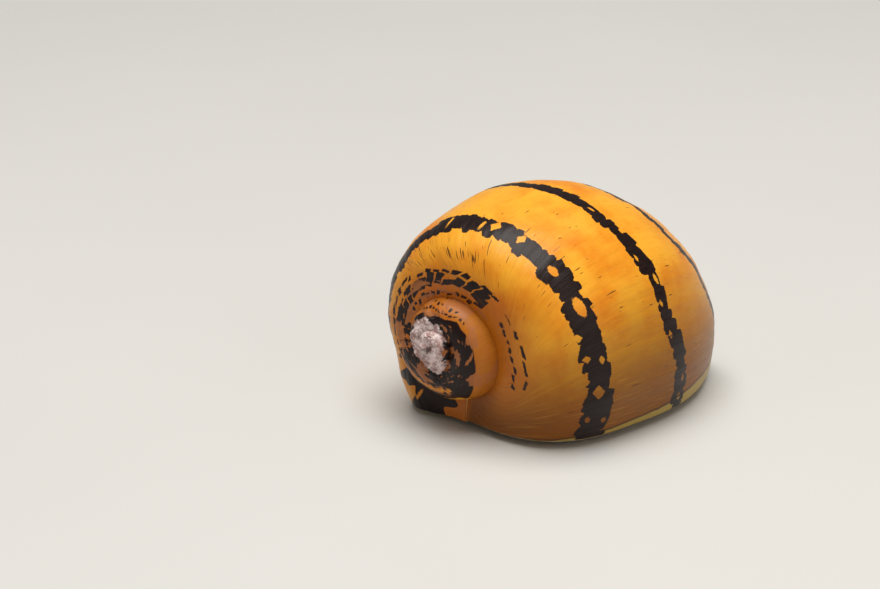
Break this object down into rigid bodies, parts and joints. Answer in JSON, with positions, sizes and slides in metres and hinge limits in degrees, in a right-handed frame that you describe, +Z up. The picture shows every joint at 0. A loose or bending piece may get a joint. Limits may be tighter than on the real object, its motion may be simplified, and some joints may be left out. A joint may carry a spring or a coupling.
{
  "type": "nerite snail",
  "caption": "Life-size model of a nerite snail at rest on its foot: a rounded orange shell with broken dark spiral bands, and the head just out from under the lip.",
  "frame": {"origin": "centre of the bounding box at the underside of the foot, on the floor", "axes": "+Z up from the floor; the picture looks along +Y, with +X to its right; the head looks out at the back right, 62 degrees from +X towards +Y"},
  "size_m": [0.0214, 0.0224, 0.0143],
  "materials": {
    "shell": "glossy",
    "lip": "glossy",
    "deck": "smooth",
    "worn_apex": "rough",
    "lid": "satin",
    "flesh": "moist",
    "eye": "glossy"
  },
  "bodies": {
    "root": {"shell_body_whorl": "shell", "shell_spire": "shell", "shell_outer_lip": "lip", "shell_columellar_deck": "deck", "shell_apex": "worn_apex", "operculum": "lid", "eye_left": "eye", "eye_right": "eye", "foot_front": "flesh", "foot_tail": "flesh", "mantle": "flesh", "head": "flesh", "snout": "flesh", "tentacle_left": "flesh", "tentacle_right": "flesh", "eyestalk_left": "flesh", "eyestalk_right": "flesh"}
  },
  "joints": []
}
